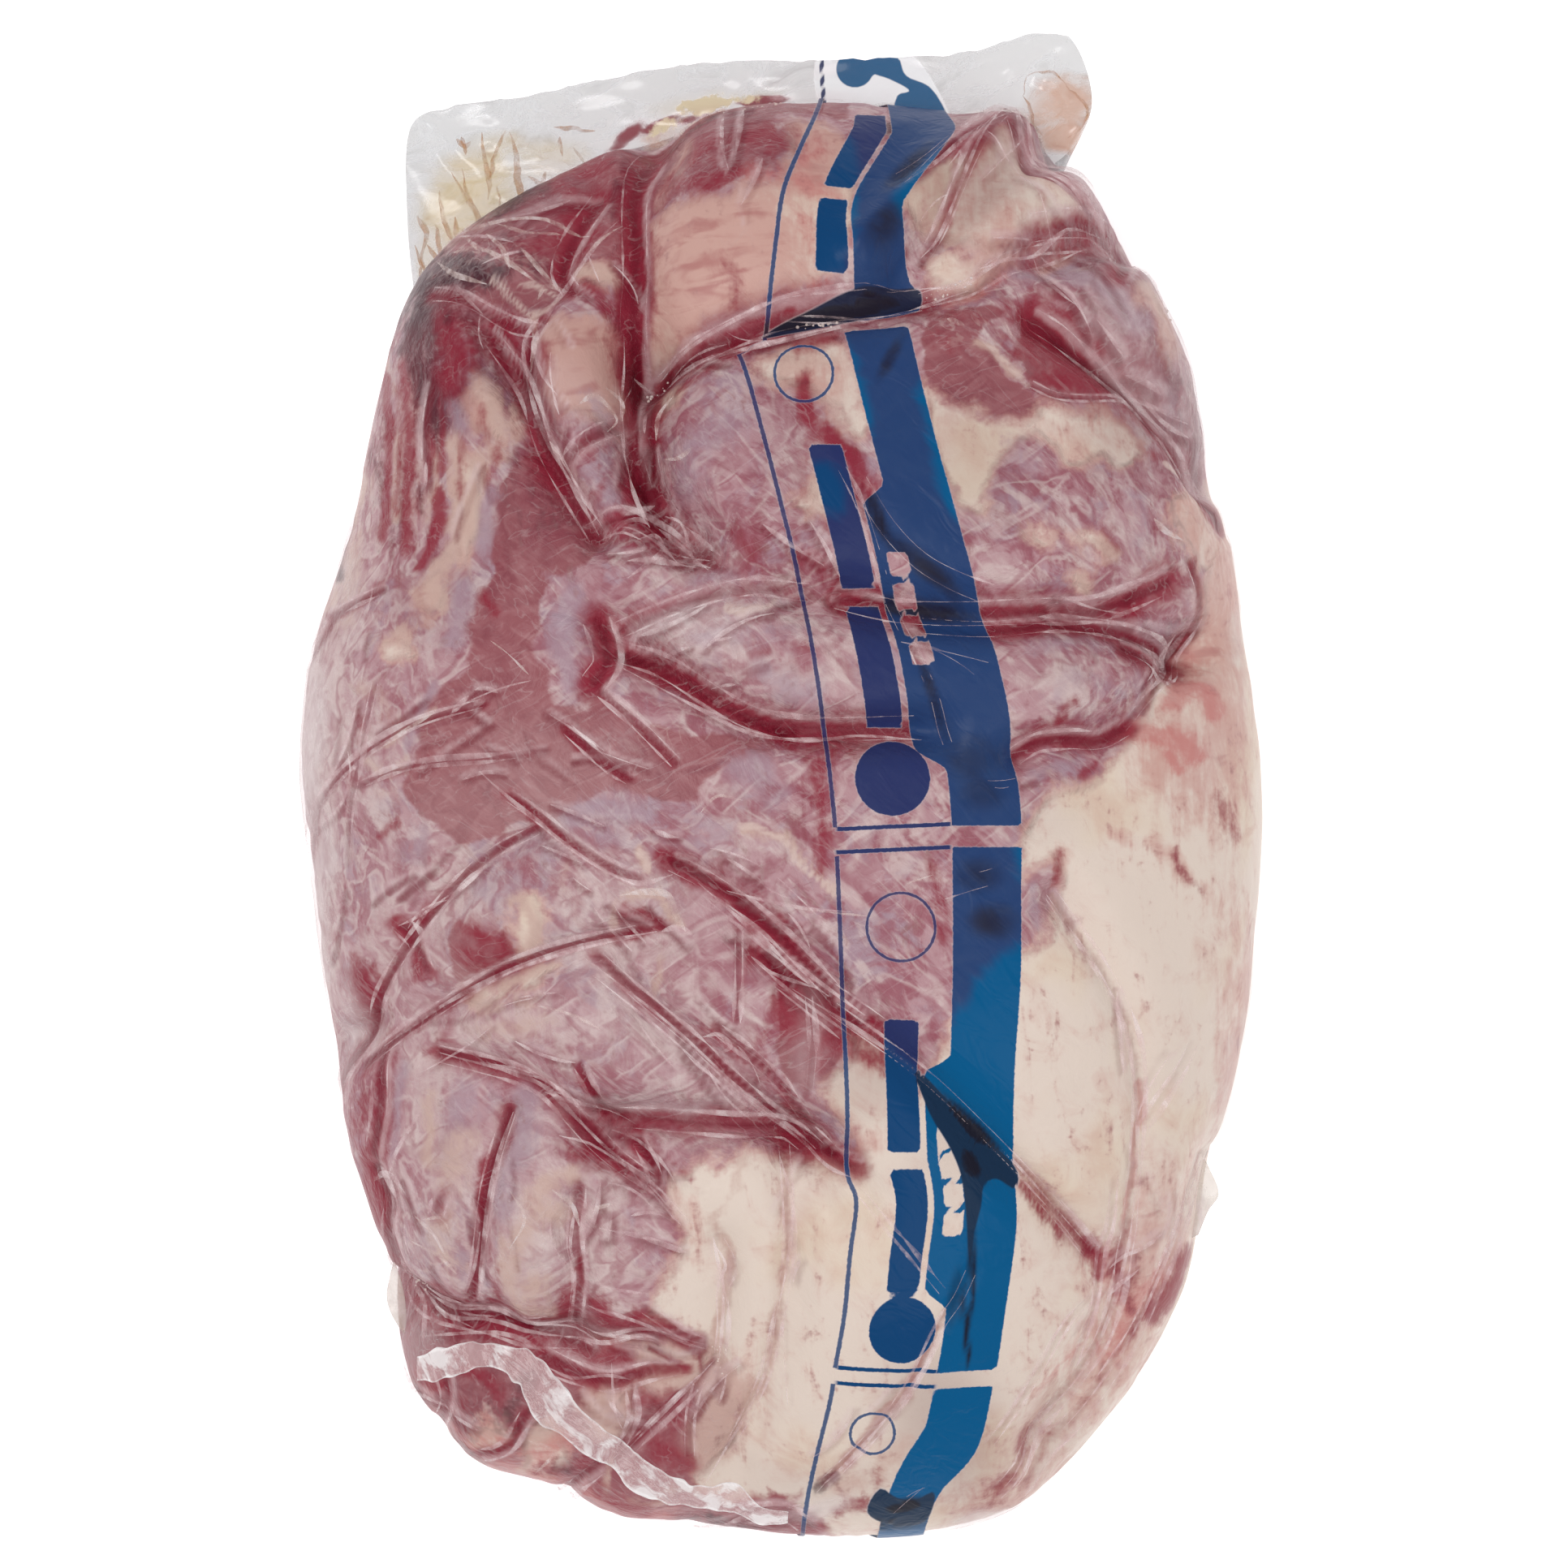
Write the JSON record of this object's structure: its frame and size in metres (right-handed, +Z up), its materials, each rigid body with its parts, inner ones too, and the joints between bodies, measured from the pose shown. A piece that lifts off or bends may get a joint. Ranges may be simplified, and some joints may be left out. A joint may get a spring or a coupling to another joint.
{
  "type": "beef sirloin tip",
  "caption": "Whole raw beef sirloin tip in a clear shrink bag with a blue print, lying flat, with the bag's sealed end spread beyond the meat.",
  "frame": {"origin": "on the surface that it lies on, under the middle of the whole, bag end included", "axes": "+Z up, +Y along the cut towards the spread end of the bag, +X towards the fat-covered long side"},
  "size_m": [0.2377, 0.3721, 0.1088],
  "materials": {
    "bagged_meat": "clear shrink film over raw beef and cream fat, wet-looking highlights, fine wrinkles"
  },
  "bodies": {
    "root": {"sealed_bag": "bagged_meat"}
  },
  "joints": []
}
